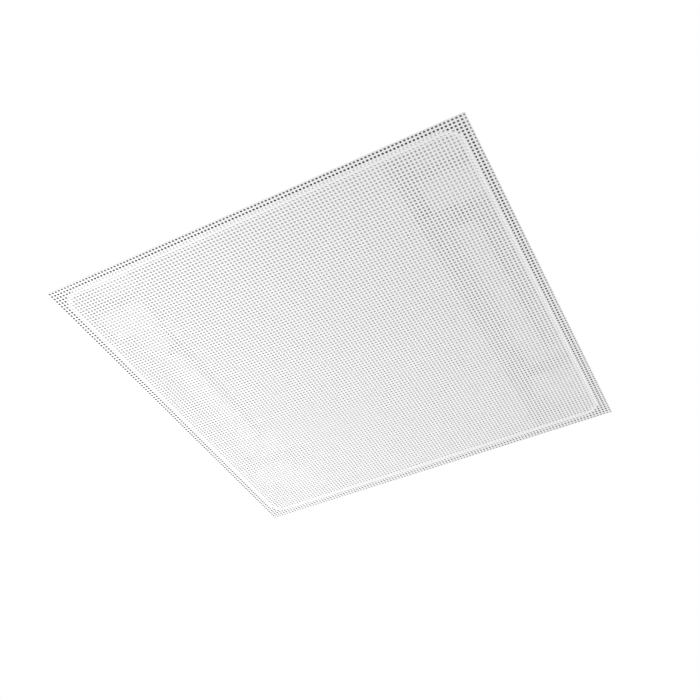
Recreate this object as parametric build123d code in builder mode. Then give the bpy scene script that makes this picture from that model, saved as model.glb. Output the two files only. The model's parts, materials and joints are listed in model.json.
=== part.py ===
from build123d import *
import math
import os

# Recessed troffer light: a flat perforated square face with a shallow pressed tray on its back.
# Millimetres. The origin is the centre of the face's underside. +Z points up into the ceiling
# void, X runs across the two gear channels and Y runs along them.

# Face, and the tray that is pressed from one sheet
FACE = 595.0  # side of the square face, which lies in a 600 mm ceiling grid
SHEET = 0.7  # thickness of the perforated sheet
RIM = 571.0  # side of the tray's rim, outside its flange
FLANGE = 6.0  # width of the flange that is spot-welded to the face
RIM_RADIUS = 25.0
SKIN = 0.8  # thickness of the tray's sheet
FLOOR = 30.0  # inside of the tray's floor
BACK = FLOOR + SKIN  # outside of the tray's floor
DRAFT = 6.0  # lean of the pressed walls, in degrees
BEND = 3.8  # radius outside the bend between wall and floor
BEND_INSIDE = 2.0  # the bend's inside, cut flat
PAD_LEVEL = 11.0  # inside of the four corner pads
PAD_INNER = 205.0  # pad's edge nearest the middle, along X
PAD_MID = 198.5  # middle of a pad, along Y
PAD_LONG = 49.0
PAD_RADIUS = 6.0
BEAD_X = 62.0  # stiffening beads, pressed outwards between the rows of light boards
BEAD_LONG = 420.0
BEAD_WIDE = 14.0
BEAD_HIGH = 3.0
BEAD_SLOPE = 40.0

# Edge frame: a low folded frame that closes the face's margin behind, from its edge to the tray
FRAME_INSET = 0.6  # from the face's cut edge to the frame
FRAME_FOOT = 1.2  # width of the edge that stands on the face
FRAME_TOP = 10.5  # below the pads, so that the swing clips pass over it
FRAME_LEAN = 33.7  # lean of its outer wall, in degrees

# Light engine
LIGHT_LEVEL = 1.6  # underside of the opal diffuser
LIGHT_HALF = 185.0  # half width of the diffuser at its front
LIGHT_FOOT = 191.5  # half width where its sides meet their feet
FOOT_HALF = 199.0  # half width over the feet
OPAL = 1.5
RAIL_LONG = 530.0
RAIL_GRIP = 6.0  # how far a rail reaches over the diffuser's foot
RAIL_THICK = 1.0
RAIL_OUT = 202.8  # outer edge of a rail's welded foot
BOARD_X = 124.0  # spacing of the three light boards
BOARD_WIDE = 24.0
BOARD_LONG = 540.0
BOARD_THICK = 1.6
CHIP = 3.0
CHIP_HIGH = 0.7
CHIP_PITCH = 24.0
CHIPS = 22
PLUG_X, PLUG_Y, PLUG_Z = 8.0, 7.0, 4.5

# Gear in the side channels
DRIVER_X = 235.5
DRIVER_WIDE = 33.0
DRIVER_LONG = 286.0
DRIVER_FRONT = 5.6
DRIVER_HIGH = 21.0
MODULE_X = -226.0
MODULE_Y = 6.0
MODULE_WIDE = 22.0
MODULE_LONG = 236.0
MODULE_FRONT = 12.0
MODULE_HIGH = 15.0
CAP = 12.0  # length of a moulded end cap
EAR = 7.0  # screw ear beyond the cap
EAR_THICK = 2.5

# Leads: flat twin cable in the tray, single cores in the wiring box
LEAD_R = 0.9
LEAD_LEVEL = 25.2
LEAD_GAP = 2.4  # between the middles of two cores side by side
LINK_X = 226.0  # where the twin cable to the light boards leaves the driver
LINK_Y = -163.0
CONTROL_X = 245.0  # where the control cable leaves the driver
CONTROL_Y = -169.0
CONTROL_IN = 8.0  # control cable's offset from the middle of the module
NOTCH_Y = -165.0
NOTCH_WIDE = 14.0

# Wiring box on the tray's back
BOX_X, BOX_Y = 232.0, 116.5
BOX_WIDE = 64.0  # along X
BOX_LONG = 110.0  # along Y
BOX_HIGH = 31.0
BOX_WALL = 2.0
BOX_RADIUS = 4.0
BOX_TOP = BACK + BOX_HIGH
BOX_FLOOR = BACK + BOX_WALL
BOX_SCREWS = ((-26, -48), (26, 48))
GROMMET_X, GROMMET_Y = 226.0, 159.0
HINGE_X = 196.9
HINGE_Z = 60.8
KNUCKLE_R = 2.8
KNUCKLE_LONG = 10.0
HINGE_PIN_R = 1.25
HINGE_PLAY = 0.06
LID_GAP = 0.3
LID_THICK = 2.0
CABLE_R = 5.0
CABLE_Z = 46.0
CLAMP_Y = 80.0
BUSH_HEAD = 2.5  # thickness of the cable bush's six-sided head
BLOCK_Y = 111.0
BLOCK_LONG = 34.0
BLOCK_DEEP = 26.0
BLOCK_HIGH = 14.0
POLE_PITCH = 10.0
LEVER_Y = 110.5
LEVER_Z = 44.4
LEVER_REACH = 13.5
LEVER_THICK = 2.6
LEVER_WIDE = 8.0
LEVER_PIN_R = 1.0
STUD_X, STUD_Y = 208.0, 152.0
TAG_THICK = 0.8

# Swing clips that hold the light down under the ceiling grid
PIVOT_X = 266.0
PIVOT_Y = 181.5
PIVOT_R = 2.0
PIVOT_PLAY = 0.08
CLIP_LEVEL = PAD_LEVEL + SKIN + 0.3  # underside of a clip's arm
CLIP_REACH = 25.0  # from the pivot to the far side of the upright
CLIP_WIDE = 10.0
CLIP_THICK = 1.2
CLIP_HOOK = 39.0  # underside of the finger, which passes over a grid runner 38 mm high
CLIP_FINGER = 11.0

# Hanger tabs for safety wires
TAB_X, TAB_Y = 150.0, 215.0
TAB_HOLE_R = 3.25
TAB_HIGH = 10.0
TAB_WIDE = 18.0
TAB_THICK = 1.2

PAD_CENTRES = [(x, y) for x in (-1, 1) for y in (-PAD_MID, PAD_MID)]
BOARD_CENTRES = [(x, 0) for x in (-BOARD_X, 0, BOARD_X)]
BOX_SCREW_POINTS = [(BOX_X + x, BOX_Y + y) for x, y in BOX_SCREWS]
CLAMP_SCREW_POINTS = [(BOX_X - 10, CLAMP_Y), (BOX_X + 10, CLAMP_Y)]
CORNERS = [(x, y) for x in (-1, 1) for y in (-1, 1)]
PIVOT_POINTS = [(x * PIVOT_X, y * PIVOT_Y) for x, y in CORNERS]


def small_round(radius, mode=Mode.ADD):
    """Eight-sided outline that stands for a small round hole or shank of this radius."""
    return RegularPolygon(radius, 8, major_radius=False, mode=mode)


def twelve_sided(radius, mode=Mode.ADD):
    """Outline that stands for a middling round hole or neck of this radius."""
    return RegularPolygon(radius, 12, major_radius=False, mode=mode)


def gear_screw_points():
    """Centres of the screws in the ears of the driver and of the module."""
    reach = EAR / 2
    driver = [(DRIVER_X, s * (DRIVER_LONG / 2 + reach)) for s in (-1, 1)]
    module = [(MODULE_X, MODULE_Y + s * (MODULE_LONG / 2 + reach)) for s in (-1, 1)]
    return driver + module


def pan_form(grow):
    """Solid of the pan: its hollow when grow is 0, its outside when grow is the skin."""
    mouth = RIM - 2 * FLANGE + 2 * grow
    pad_wide = RIM / 2 + 20 - PAD_INNER
    with BuildPart() as form:
        with BuildSketch(Plane.XY.offset(SHEET)):
            RectangleRounded(mouth, mouth, RIM_RADIUS - FLANGE + grow)
        extrude(amount=FLOOR + grow - SHEET, taper=DRAFT)
        bend = form.faces().sort_by(Axis.Z)[-1].edges()
        if grow:
            fillet(bend, BEND)
        else:
            chamfer(bend, BEND_INSIDE)
        with BuildSketch(Plane.XY.offset(PAD_LEVEL + grow)):
            for side, y in PAD_CENTRES:
                with Locations((side * (PAD_INNER + grow + pad_wide / 2), y)):
                    RectangleRounded(pad_wide, PAD_LONG - 2 * grow, PAD_RADIUS - grow)
        extrude(amount=FLOOR, mode=Mode.SUBTRACT)
        with BuildSketch(Plane.XY.offset(FLOOR + grow)):
            with Locations((-BEAD_X, 0), (BEAD_X, 0)):
                Rectangle(BEAD_WIDE + 2 * grow, BEAD_LONG + 2 * grow)
        extrude(amount=BEAD_HIGH, taper=BEAD_SLOPE)
    return form.part


def hex_screws(points, seat, tip, shank_r, head_r, head_high):
    """Screws whose heads sit on the level seat and whose shanks end at the level tip."""
    way = 1 if tip < seat else -1
    with BuildPart() as screws:
        with BuildSketch(Plane.XY.offset(seat)):
            with Locations(*points):
                RegularPolygon(head_r, 6)
        extrude(amount=way * head_high)
        with BuildSketch(Plane.XY.offset(seat)):
            with Locations(*points):
                small_round(shank_r)
        extrude(amount=tip - seat)
    return screws


def gear_case(x, y, wide, long, front, high):
    """Folded sheet case of a driver, with rounded long edges."""
    with BuildPart() as case:
        with BuildSketch(Plane.XZ.offset(-y)):
            with Locations((x, front + high / 2)):
                Rectangle(wide - 1.6, high - 1.6)
        extrude(amount=long / 2 - CAP + 1, both=True)
        fillet(case.edges().filter_by(Axis.Y).group_by(Axis.Z)[0], 1.8)
        with Locations((x, y, front + 0.8)):
            for side in (-1, 1):
                with Locations((0, side * (long / 2 - 2 * CAP), 0)):
                    Box(wide - 8, 1.2, 1.2, mode=Mode.SUBTRACT)
    return case


def gear_caps(x, y, wide, long, front, high):
    """Moulded end caps of a driver: socket over the case, foot on the floor and screw ear."""
    with BuildPart() as caps:
        for side in (-1, 1):
            end = y + side * long / 2
            middle = end - side * CAP / 2
            with BuildSketch(Plane.XY.offset(front)):
                with Locations((x, middle)):
                    Rectangle(wide, CAP)
            extrude(amount=FLOOR - front)
            with BuildSketch(Plane.XY.offset(FLOOR)):
                with Locations((x, end + side * EAR / 2)):
                    Rectangle(15, EAR)
                with Locations((x, end + side * EAR / 2)):
                    small_round(2.1, Mode.SUBTRACT)
            extrude(amount=-EAR_THICK)
        long_edges = caps.edges().filter_by(Axis.Y).group_by(Axis.Z)[0]
        fillet(long_edges, 2.5)
        with BuildSketch(Plane.XZ.offset(-y)):
            with Locations((x, front + high / 2)):
                Rectangle(wide - 1.6, high - 1.6)
        extrude(amount=long / 2 - CAP + 1, both=True, mode=Mode.SUBTRACT)
    return caps


def lead(points, radii):
    """One insulated core along straight runs joined by arcs, of a six-sided section."""
    with BuildPart() as core:
        with BuildLine() as route:
            FilletPolyline(*points, radius=radii)
        with BuildSketch(Plane(origin=route.line @ 0, z_dir=route.line % 0)):
            RegularPolygon(LEAD_R, 6)
        sweep(path=route.line)
    return core.part


def twin_lead(points, radius):
    """Flat twin cable laid on one level along straight runs joined by arcs."""
    with BuildPart() as twin:
        with BuildLine(Plane.XY.offset(LEAD_LEVEL)) as route:
            FilletPolyline(*points, radius=radius)
        upright = Plane(origin=route.line @ 0, x_dir=(0, 0, 1), z_dir=route.line % 0)
        with BuildSketch(upright):
            Rectangle(2 * LEAD_R, 2 * LEAD_R + LEAD_GAP)
        sweep(path=route.line)
    return twin


def swing_clip(side, end):
    """Clip of bent strip, stowed along its pad: pivot eye, arm, upright and finger."""
    pivot = (side * PIVOT_X, end * PIVOT_Y)
    upright = pivot[1] + end * (CLIP_REACH - CLIP_THICK / 2)
    finger = pivot[1] + end * (CLIP_REACH + CLIP_FINGER / 2)
    with BuildPart() as clip:
        with BuildSketch(Plane.XY.offset(CLIP_LEVEL)):
            with Locations(pivot):
                Circle(CLIP_WIDE / 2)
            with Locations((pivot[0], pivot[1] + end * CLIP_REACH / 2)):
                Rectangle(CLIP_WIDE, CLIP_REACH)
            with Locations(pivot):
                Circle(PIVOT_R + PIVOT_PLAY, mode=Mode.SUBTRACT)
        extrude(amount=CLIP_THICK)
        with BuildSketch(Plane.XY.offset(CLIP_LEVEL)):
            with Locations((pivot[0], upright)):
                Rectangle(CLIP_WIDE, CLIP_THICK)
        extrude(amount=CLIP_HOOK + CLIP_THICK - CLIP_LEVEL)
        with BuildSketch(Plane.XY.offset(CLIP_HOOK)):
            with Locations((pivot[0], finger)):
                Rectangle(CLIP_WIDE, CLIP_FINGER)
        extrude(amount=CLIP_THICK)
        bend = clip.edges().filter_by(Axis.X).group_by(Axis.Z)[0].sort_by(Axis.Y)
        fillet(bend[-1] if end > 0 else bend[0], 1.0)
    return clip


# Perforated face, left plain here: its rows of small holes run right out to the cut edges
with BuildPart() as perforated_face:
    with BuildSketch():
        Rectangle(FACE, FACE)
    extrude(amount=SHEET)

# Rear tray: outside of the pan less its hollow, with the flange and every hole in the floor
with BuildPart() as rear_tray:
    add(pan_form(SKIN))
    add(pan_form(0), mode=Mode.SUBTRACT)
    with BuildSketch(Plane.XY.offset(SHEET)):
        RectangleRounded(RIM, RIM, RIM_RADIUS)
        RectangleRounded(RIM - 2 * FLANGE, RIM - 2 * FLANGE, RIM_RADIUS - FLANGE, mode=Mode.SUBTRACT)
    extrude(amount=SKIN)
    with BuildSketch(Plane.XY.offset(FLOOR - 1)):
        with Locations(*BOX_SCREW_POINTS, *gear_screw_points()):
            small_round(1.7)
        with Locations((GROMMET_X, GROMMET_Y)):
            twelve_sided(6.5)
        with Locations((STUD_X, STUD_Y)):
            small_round(2.1)
    extrude(amount=SKIN + 2, mode=Mode.SUBTRACT)
    with BuildSketch(Plane.XY.offset(PAD_LEVEL - 1)):
        with Locations(*PIVOT_POINTS):
            small_round(PIVOT_R)
    extrude(amount=SKIN + 2, mode=Mode.SUBTRACT)

# Edge frame: a leaning wall all round, a foot on the face and a lip up to the tray's wall
frame_side = FACE - 2 * FRAME_INSET
lip_level = FRAME_TOP - SKIN
lip_half = RIM / 2 - FLANGE + SKIN - (lip_level - SHEET) * math.tan(math.radians(DRAFT)) + 0.1
with BuildPart() as edge_frame:
    with BuildSketch(Plane.XY.offset(SHEET)):
        Rectangle(frame_side, frame_side)
    extrude(amount=FRAME_TOP - SHEET, taper=FRAME_LEAN)
    with BuildSketch(Plane.XY.offset(SHEET)):
        Rectangle(frame_side - 2 * FRAME_FOOT, frame_side - 2 * FRAME_FOOT)
    extrude(amount=lip_level - SHEET, taper=FRAME_LEAN, mode=Mode.SUBTRACT)
    with BuildSketch(Plane.XY.offset(SHEET)):
        RectangleRounded(2 * lip_half, 2 * lip_half, RIM_RADIUS - FLANGE)
    extrude(amount=FRAME_TOP, mode=Mode.SUBTRACT)

# Diffuser: opal channel with feet, cut at both ends to the lean of the tray's walls
with BuildPart() as diffuser_cover:
    with BuildSketch(Plane.XZ):
        with BuildLine():
            FilletPolyline(
                (-FOOT_HALF, FLOOR - OPAL),
                (-LIGHT_FOOT, FLOOR - OPAL),
                (-LIGHT_HALF, LIGHT_LEVEL),
                (LIGHT_HALF, LIGHT_LEVEL),
                (LIGHT_FOOT, FLOOR - OPAL),
                (FOOT_HALF, FLOOR - OPAL),
                radius=[0, 3, 3, 0],
            )
            offset(amount=OPAL, side=Side.LEFT)
        make_face()
    extrude(amount=RIM / 2, both=True)
    with BuildSketch(Plane.XY.offset(SHEET)):
        Rectangle(2 * FOOT_HALF + 20, RIM - 2 * FLANGE - 1)
    extrude(amount=FLOOR - SHEET, taper=DRAFT, mode=Mode.INTERSECT)
    with Locations((-LIGHT_FOOT, NOTCH_Y, LEAD_LEVEL), (LIGHT_FOOT, NOTCH_Y, LEAD_LEVEL)):
        Box(10, NOTCH_WIDE, 4.4, mode=Mode.SUBTRACT)
    with Locations((0, -RIM / 2, FLOOR), (0, RIM / 2, FLOOR)):
        Box(2 * FOOT_HALF + 20, 28, 7, mode=Mode.SUBTRACT)

# Rails: Z sections welded to the floor, under which the diffuser's feet slide in
rail_level = FLOOR - OPAL - 0.1
rail_in = FOOT_HALF + 0.4
with BuildPart() as diffuser_rails:
    with BuildSketch(Plane.XZ):
        with BuildLine():
            Polyline(
                (rail_in - RAIL_GRIP, rail_level),
                (rail_in, rail_level),
                (rail_in, FLOOR),
                (RAIL_OUT, FLOOR),
                (RAIL_OUT, FLOOR - RAIL_THICK),
                (rail_in + RAIL_THICK, FLOOR - RAIL_THICK),
                (rail_in + RAIL_THICK, rail_level - RAIL_THICK),
                (rail_in - RAIL_GRIP, rail_level - RAIL_THICK),
                close=True,
            )
        make_face()
        mirror(about=Plane.YZ)
    extrude(amount=RAIL_LONG / 2, both=True)

# Light boards, each with its row of light chips and a plug at either side
board_level = FLOOR - BOARD_THICK
boards = {}
for name, (x, _) in zip(("left", "centre", "right"), BOARD_CENTRES):
    with BuildPart() as board:
        with BuildSketch(Plane.XY.offset(FLOOR)):
            with Locations((x, 0)):
                Rectangle(BOARD_WIDE, BOARD_LONG)
        extrude(amount=-BOARD_THICK)
    boards["led_board_" + name] = board

with BuildPart() as led_chips:
    with BuildSketch(Plane.XY.offset(board_level)):
        with GridLocations(BOARD_X, CHIP_PITCH, len(BOARD_CENTRES), CHIPS):
            Rectangle(CHIP, CHIP)
    extrude(amount=-CHIP_HIGH)

plug_reach = BOARD_WIDE / 2 - PLUG_X / 2 - 0.5
with BuildPart() as board_plugs:
    with Locations(*[(x + s * plug_reach, LINK_Y, board_level) for x, _ in BOARD_CENTRES for s in (-1, 1)]):
        Box(PLUG_X, PLUG_Y, PLUG_Z, align=(Align.CENTER, Align.CENTER, Align.MAX))

gear_screws = hex_screws(gear_screw_points(), FLOOR - EAR_THICK, BACK, 1.65, 3.0, 2.0)

driver_size = (DRIVER_X, 0, DRIVER_WIDE, DRIVER_LONG, DRIVER_FRONT, DRIVER_HIGH)
driver_case = gear_case(*driver_size)
driver_end_caps = gear_caps(*driver_size)
module_size = (MODULE_X, MODULE_Y, MODULE_WIDE, MODULE_LONG, MODULE_FRONT, MODULE_HIGH)
module_case = gear_case(*module_size)
module_end_caps = gear_caps(*module_size)

# Twin cables: from the driver to the first board, from board to board, and to the module
driver_end = -DRIVER_LONG / 2
module_end = MODULE_Y - MODULE_LONG / 2
board_edge = BOARD_WIDE / 2 - 0.5
led_leads = twin_lead([(LINK_X, driver_end), (LINK_X, LINK_Y), (BOARD_X + board_edge, LINK_Y)], 9)
control_route = [
    (CONTROL_X, driver_end),
    (CONTROL_X, CONTROL_Y),
    (MODULE_X + CONTROL_IN, CONTROL_Y),
    (MODULE_X + CONTROL_IN, module_end),
]
control_leads = twin_lead(control_route, 9)
with BuildPart() as board_links:
    with Locations((-BOARD_X / 2, LINK_Y, LEAD_LEVEL), (BOARD_X / 2, LINK_Y, LEAD_LEVEL)):
        Box(BOARD_X - 2 * board_edge, 2 * LEAD_R + LEAD_GAP, 2 * LEAD_R)

# Wiring box: open box with clamp seat, hinge knuckles and holes for cable, leads and screws
with BuildPart() as wiring_box:
    with BuildSketch(Plane.XY.offset(BACK)):
        with Locations((BOX_X, BOX_Y)):
            RectangleRounded(BOX_WIDE, BOX_LONG, BOX_RADIUS)
    extrude(amount=BOX_HIGH)
    with BuildSketch(Plane.XY.offset(BOX_FLOOR)):
        with Locations((BOX_X, BOX_Y)):
            Rectangle(BOX_WIDE - 2 * BOX_WALL, BOX_LONG - 2 * BOX_WALL)
    extrude(amount=BOX_HIGH, mode=Mode.SUBTRACT)
    with BuildSketch(Plane.XY.offset(BOX_FLOOR)):
        with Locations((BOX_X, CLAMP_Y)):
            Rectangle(28, 10)
    extrude(amount=CABLE_Z - BOX_FLOOR)
    with BuildSketch(Plane.XZ.offset(-BOX_Y + BOX_LONG / 2 + 1)):
        with Locations((BOX_X, CABLE_Z)):
            twelve_sided(7.1)
    extrude(amount=-BOX_WALL - 2, mode=Mode.SUBTRACT)
    with BuildSketch(Plane.XZ.offset(-CLAMP_Y)):
        with Locations((BOX_X, CABLE_Z)):
            Circle(CABLE_R)
    extrude(amount=6, both=True, mode=Mode.SUBTRACT)
    with BuildSketch(Plane.XY.offset(BOX_FLOOR + 4)):
        with Locations(*CLAMP_SCREW_POINTS):
            small_round(1.5)
    extrude(amount=BOX_HIGH, mode=Mode.SUBTRACT)
    for y in (BOX_Y - 39.5, BOX_Y + 38.5):
        with BuildSketch(Plane.XZ.offset(-y)):
            with Locations((HINGE_X, HINGE_Z)):
                Circle(KNUCKLE_R)
            with BuildLine():
                Polyline(
                    (HINGE_X - KNUCKLE_R, HINGE_Z),
                    (HINGE_X + KNUCKLE_R, HINGE_Z - 9),
                    (BOX_X - BOX_WIDE / 2 + 1, HINGE_Z - 9),
                    (BOX_X - BOX_WIDE / 2 + 1, HINGE_Z),
                    close=True,
                )
            make_face()
            with Locations((HINGE_X, HINGE_Z)):
                small_round(HINGE_PIN_R, Mode.SUBTRACT)
        extrude(amount=KNUCKLE_LONG / 2, both=True)
    with BuildSketch(Plane.XY.offset(BACK - 1)):
        with Locations(*BOX_SCREW_POINTS):
            small_round(1.9)
        with Locations((GROMMET_X, GROMMET_Y)):
            twelve_sided(6.5)
        with Locations((STUD_X, STUD_Y)):
            small_round(2.1)
    extrude(amount=BOX_WALL + 2, mode=Mode.SUBTRACT)

# Lid: plate with a locating lip, two knuckles and a finger tab
lid_level = BOX_TOP + LID_GAP
lid_wide = BOX_WIDE + 1.1
with BuildPart() as wiring_box_lid:
    with BuildSketch(Plane.XY.offset(lid_level)):
        with Locations((BOX_X + 0.95, BOX_Y)):
            RectangleRounded(lid_wide, BOX_LONG + 2, BOX_RADIUS)
    extrude(amount=LID_THICK)
    lip_wide = BOX_WIDE - 2 * BOX_WALL - 0.8
    lip_long = BOX_LONG - 2 * BOX_WALL - 0.8
    with BuildSketch(Plane.XY.offset(lid_level)):
        with Locations((BOX_X, BOX_Y)):
            Rectangle(lip_wide, lip_long)
            Rectangle(lip_wide - 3, lip_long - 3, mode=Mode.SUBTRACT)
    extrude(amount=-3)
    for y in (BOX_Y - 29.1, BOX_Y + 28.1):
        with BuildSketch(Plane.XZ.offset(-y)):
            with Locations((HINGE_X, HINGE_Z)):
                Circle(KNUCKLE_R)
            with BuildLine():
                Polyline(
                    (HINGE_X - KNUCKLE_R, HINGE_Z),
                    (HINGE_X - KNUCKLE_R + 0.8, lid_level + 1.5),
                    (HINGE_X + 8, lid_level + 1.5),
                    (HINGE_X + 8, lid_level),
                    (HINGE_X + 2.2, lid_level),
                    (HINGE_X + 2.2, HINGE_Z),
                    close=True,
                )
            make_face()
            with Locations((HINGE_X, HINGE_Z)):
                Circle(HINGE_PIN_R + HINGE_PLAY, mode=Mode.SUBTRACT)
        extrude(amount=KNUCKLE_LONG / 2, both=True)
    with BuildSketch(Plane.XY.offset(lid_level + 1)):
        with Locations((BOX_X + BOX_WIDE / 2 + 1.25, BOX_Y)):
            Rectangle(1.5, 18)
    extrude(amount=-8)

with BuildPart() as lid_hinge_pins:
    for y, far in ((BOX_Y - 39.5, BOX_Y - 29.1), (BOX_Y + 28.1, BOX_Y + 38.5)):
        with BuildSketch(Plane.XZ.offset(-(y + far) / 2)):
            with Locations((HINGE_X, HINGE_Z)):
                Circle(HINGE_PIN_R)
        extrude(amount=(far - y + KNUCKLE_LONG) / 2, both=True)

box_screws = hex_screws(BOX_SCREW_POINTS, BOX_FLOOR, FLOOR - 2, 1.65, 3.0, 2.0)

# Moulded bush in the box's end wall, and the saddle that grips the cable behind it
box_end = BOX_Y - BOX_LONG / 2
with BuildPart() as cable_bush:
    with BuildSketch(Plane.XZ.offset(BUSH_HEAD - box_end)):
        with Locations((BOX_X, CABLE_Z)):
            RegularPolygon(9, 6)
    extrude(amount=-BUSH_HEAD)
    with BuildSketch(Plane.XZ.offset(-box_end)):
        with Locations((BOX_X, CABLE_Z)):
            twelve_sided(7)
    extrude(amount=-BOX_WALL)
    with BuildSketch(Plane.XZ.offset(-box_end - BOX_WALL)):
        with Locations((BOX_X, CABLE_Z)):
            twelve_sided(8)
    extrude(amount=-4)
    with BuildSketch(Plane.XZ.offset(BUSH_HEAD - box_end)):
        with Locations((BOX_X, CABLE_Z)):
            Circle(CABLE_R)
    extrude(amount=-20, mode=Mode.SUBTRACT)

with BuildPart() as cable_clamp:
    with BuildSketch(Plane.XZ.offset(-CLAMP_Y)):
        with Locations((BOX_X, CABLE_Z + 1.5)):
            Rectangle(28, 3)
        with Locations((BOX_X, CABLE_Z)):
            Circle(7.5)
        with Locations((BOX_X, CABLE_Z - 10)):
            Rectangle(40, 20, mode=Mode.SUBTRACT)
        with Locations((BOX_X, CABLE_Z)):
            Circle(CABLE_R, mode=Mode.SUBTRACT)
    extrude(amount=4.5, both=True)
    with BuildSketch(Plane.XY.offset(CABLE_Z - 1)):
        with Locations(*CLAMP_SCREW_POINTS):
            small_round(1.7)
    extrude(amount=10, mode=Mode.SUBTRACT)

clamp_screws = hex_screws(CLAMP_SCREW_POINTS, CABLE_Z + 3, BOX_FLOOR + 5, 1.45, 2.4, 1.6)

# Terminal block: three poles with a groove each for its lever, wire holes front and back
pole_xs = [BOX_X + k * POLE_PITCH for k in (-1, 0, 1)]
block_front = BLOCK_Y - BLOCK_DEEP / 2
block_back = BLOCK_Y + BLOCK_DEEP / 2
block_top = BOX_FLOOR + BLOCK_HIGH
with BuildPart() as terminal_block:
    with BuildSketch(Plane.XY.offset(BOX_FLOOR)):
        with Locations((BOX_X, BLOCK_Y)):
            Rectangle(BLOCK_LONG, BLOCK_DEEP)
    extrude(amount=BLOCK_HIGH)
    with BuildSketch(Plane.XY.offset(block_top - 5)):
        with Locations(*[(x, block_front + 9) for x in pole_xs]):
            Rectangle(LEVER_WIDE + 0.6, 20)
    extrude(amount=6, mode=Mode.SUBTRACT)
    with BuildSketch(Plane.XZ.offset(-block_front)):
        with Locations(*[(x, BOX_FLOOR + 5) for x in pole_xs]):
            Rectangle(4.6, 4.2)
    extrude(amount=-10, mode=Mode.SUBTRACT)
    with BuildSketch(Plane.XZ.offset(-block_back)):
        with Locations(*[(x, BOX_FLOOR + 9.2) for x in pole_xs]):
            Rectangle(2.6, 2.4)
    extrude(amount=5, mode=Mode.SUBTRACT)
    with BuildSketch(Plane.YZ.offset(BOX_X)):
        with Locations((LEVER_Y, LEVER_Z)):
            small_round(LEVER_PIN_R)
    extrude(amount=16, both=True, mode=Mode.SUBTRACT)

levers = {}
for name, x in zip(("live", "neutral", "earth"), pole_xs):
    with BuildPart() as lever:
        with BuildSketch(Plane.YZ.offset(x)):
            with Locations((LEVER_Y - LEVER_REACH / 2, LEVER_Z + 0.9)):
                Rectangle(LEVER_REACH, LEVER_THICK)
            with Locations((LEVER_Y, LEVER_Z)):
                Circle(2.2)
            with Locations((LEVER_Y - LEVER_REACH + 1, LEVER_Z + LEVER_THICK)):
                Rectangle(2, 1.6)
            with Locations((LEVER_Y, LEVER_Z)):
                Circle(LEVER_PIN_R + 0.06, mode=Mode.SUBTRACT)
        extrude(amount=LEVER_WIDE / 2, both=True)
    levers["lever_" + name] = lever

with BuildPart() as lever_pin:
    with BuildSketch(Plane.YZ.offset(BOX_X)):
        with Locations((LEVER_Y, LEVER_Z)):
            Circle(LEVER_PIN_R)
    extrude(amount=16, both=True)

# Leads from the terminals down through the floor to the driver
supply_level = BOX_FLOOR + 9.2
with BuildPart() as supply_leads:
    for pole, x in enumerate(pole_xs):
        down = GROMMET_X + (pole - 1) * LEAD_GAP
        points = [
            (x, block_back - 5, supply_level),
            (x, block_back + 7, supply_level),
            (down, GROMMET_Y, supply_level),
            (down, GROMMET_Y, LEAD_LEVEL),
            (down, DRIVER_LONG / 2, LEAD_LEVEL),
        ]
        add(lead(points, [12, 8, 8]))

with BuildPart() as wire_grommet:
    for level, radius, high in ((FLOOR - 1.5, 8, 1.5), (FLOOR, 6.4, BOX_FLOOR - FLOOR), (BOX_FLOOR, 8, 1.5)):
        with BuildSketch(Plane.XY.offset(level)):
            with Locations((GROMMET_X, GROMMET_Y)):
                twelve_sided(radius)
        extrude(amount=high)
    with BuildSketch(Plane.XY.offset(FLOOR - 2)):
        with Locations((GROMMET_X, GROMMET_Y)):
            twelve_sided(4.5)
    extrude(amount=8, mode=Mode.SUBTRACT)

# Earth: stud through box and tray, ring tag and nut on it, and the lead from the block
with BuildPart() as earth_stud:
    with BuildSketch(Plane.XY.offset(FLOOR)):
        with Locations((STUD_X, STUD_Y)):
            small_round(4)
    extrude(amount=-1.5)
    with BuildSketch(Plane.XY.offset(FLOOR - 1)):
        with Locations((STUD_X, STUD_Y)):
            small_round(2)
    extrude(amount=14)

barrel_level = BOX_FLOOR + 2.0  # middle of the tag's crimped barrel
barrel_end = STUD_Y - 7
with BuildPart() as earth_tag:
    with BuildSketch(Plane.XY.offset(BOX_FLOOR)):
        with Locations((STUD_X, STUD_Y)):
            small_round(4)
        with Locations((STUD_X, STUD_Y - 5)):
            Rectangle(3.2, 6)
        with Locations((STUD_X, STUD_Y)):
            small_round(2.1, Mode.SUBTRACT)
    extrude(amount=TAG_THICK)
    with BuildSketch(Plane.XZ.offset(-barrel_end)):
        with Locations((STUD_X, barrel_level)):
            RegularPolygon(1.8, 8)
            RegularPolygon(LEAD_R, 6, mode=Mode.SUBTRACT)
    extrude(amount=5)

with BuildPart() as earth_nut:
    with BuildSketch(Plane.XY.offset(BOX_FLOOR + TAG_THICK)):
        with Locations((STUD_X, STUD_Y)):
            RegularPolygon(4.04, 6)
            small_round(2.02, Mode.SUBTRACT)
    extrude(amount=3.2)

with BuildPart() as earth_lead:
    points = [
        (BOX_X - BLOCK_LONG / 2, BLOCK_Y - 6, BOX_FLOOR + 4.5),
        (STUD_X, BLOCK_Y - 6, BOX_FLOOR + 4.5),
        (STUD_X, BLOCK_Y + 12, barrel_level),
        (STUD_X, barrel_end, barrel_level),
    ]
    add(lead(points, [6, 20]))

clips = {}
for side, end in CORNERS:
    name = "swing_clip_" + ("left" if side < 0 else "right") + ("_near" if end < 0 else "_far")
    clips[name] = swing_clip(side, end)

head_level = CLIP_LEVEL + CLIP_THICK + 0.3
with BuildPart() as clip_pivots:
    with BuildSketch(Plane.XY.offset(PAD_LEVEL)):
        with Locations(*PIVOT_POINTS):
            Circle(PIVOT_R)
    extrude(amount=head_level - PAD_LEVEL)
    with BuildSketch(Plane.XY.offset(head_level)):
        with Locations(*PIVOT_POINTS):
            RegularPolygon(4, 8)
    extrude(amount=1.4)

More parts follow.
